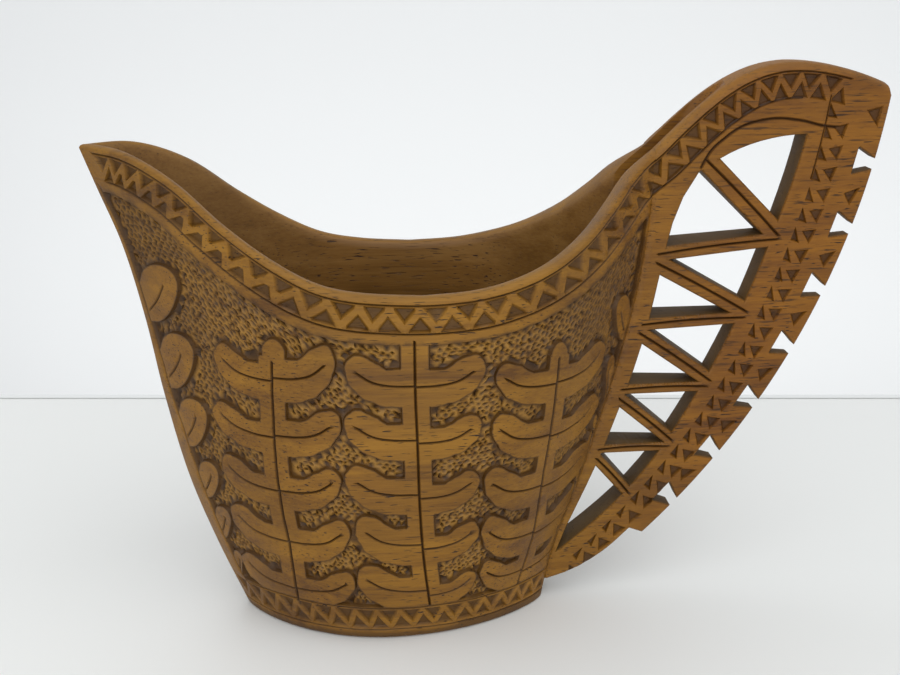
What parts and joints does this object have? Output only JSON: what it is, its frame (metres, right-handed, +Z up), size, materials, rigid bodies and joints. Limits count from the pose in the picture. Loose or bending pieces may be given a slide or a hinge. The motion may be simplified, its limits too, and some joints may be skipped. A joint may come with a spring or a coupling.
{
  "type": "carved drinking cup",
  "caption": "Tall carved kuksa cup in brown wood: boat-shaped bowl with a pointed pouring prow, a dipping rim, leaf carving and a pierced, toothed handle plate.",
  "frame": {"origin": "middle of the foot, on the face that the cup stands on", "axes": "+X from the bowl towards the handle, +Y across the cup, +Z up"},
  "size_m": [0.1958, 0.0594, 0.1407],
  "materials": {
    "wood": "satin"
  },
  "bodies": {
    "root": {"bowl": "wood", "handle_top_arm": "wood", "handle_inner_rail": "wood", "handle_outer_rail": "wood", "spoke_1": "wood", "spoke_2": "wood", "spoke_3": "wood", "spoke_4": "wood", "spoke_5": "wood", "spoke_6": "wood", "spoke_7": "wood", "spoke_8": "wood", "spoke_9": "wood"}
  },
  "joints": []
}
